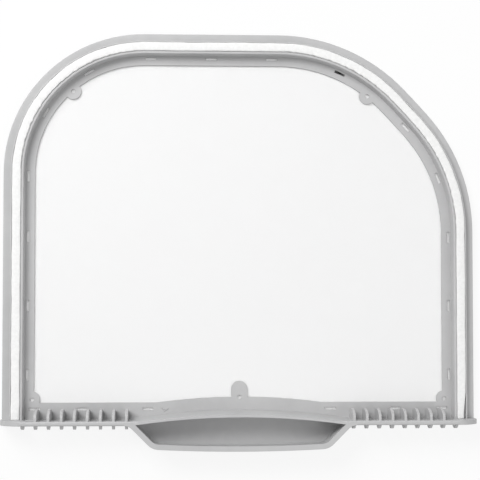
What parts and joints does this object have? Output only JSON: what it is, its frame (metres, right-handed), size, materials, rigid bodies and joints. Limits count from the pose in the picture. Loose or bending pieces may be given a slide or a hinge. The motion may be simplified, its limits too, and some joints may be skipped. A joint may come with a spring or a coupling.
{
  "type": "dryer lint filter",
  "caption": "Flat dryer lint filter: woven screen in a moulded frame with a felt seal, an air grille along the top and a scoop handle with a hood.",
  "frame": {"origin": "middle of the box round the whole part, on the plane of its back", "axes": "+X along the cross bar towards the side with the cut corner, +Y from the handle towards the far end of the rim, +Z square to the screen, out of the back towards the side with the handle's opening"},
  "size_m": [0.3572, 0.3132, 0.028],
  "materials": {
    "moulding": "fine satin moulding, light neutral grey",
    "screen": "fine near-white woven mesh, stretched flat",
    "felt": "white needled felt"
  },
  "bodies": {
    "root": {"frame": "moulding", "mesh_screen": "screen", "felt_seal": "felt"}
  },
  "joints": []
}
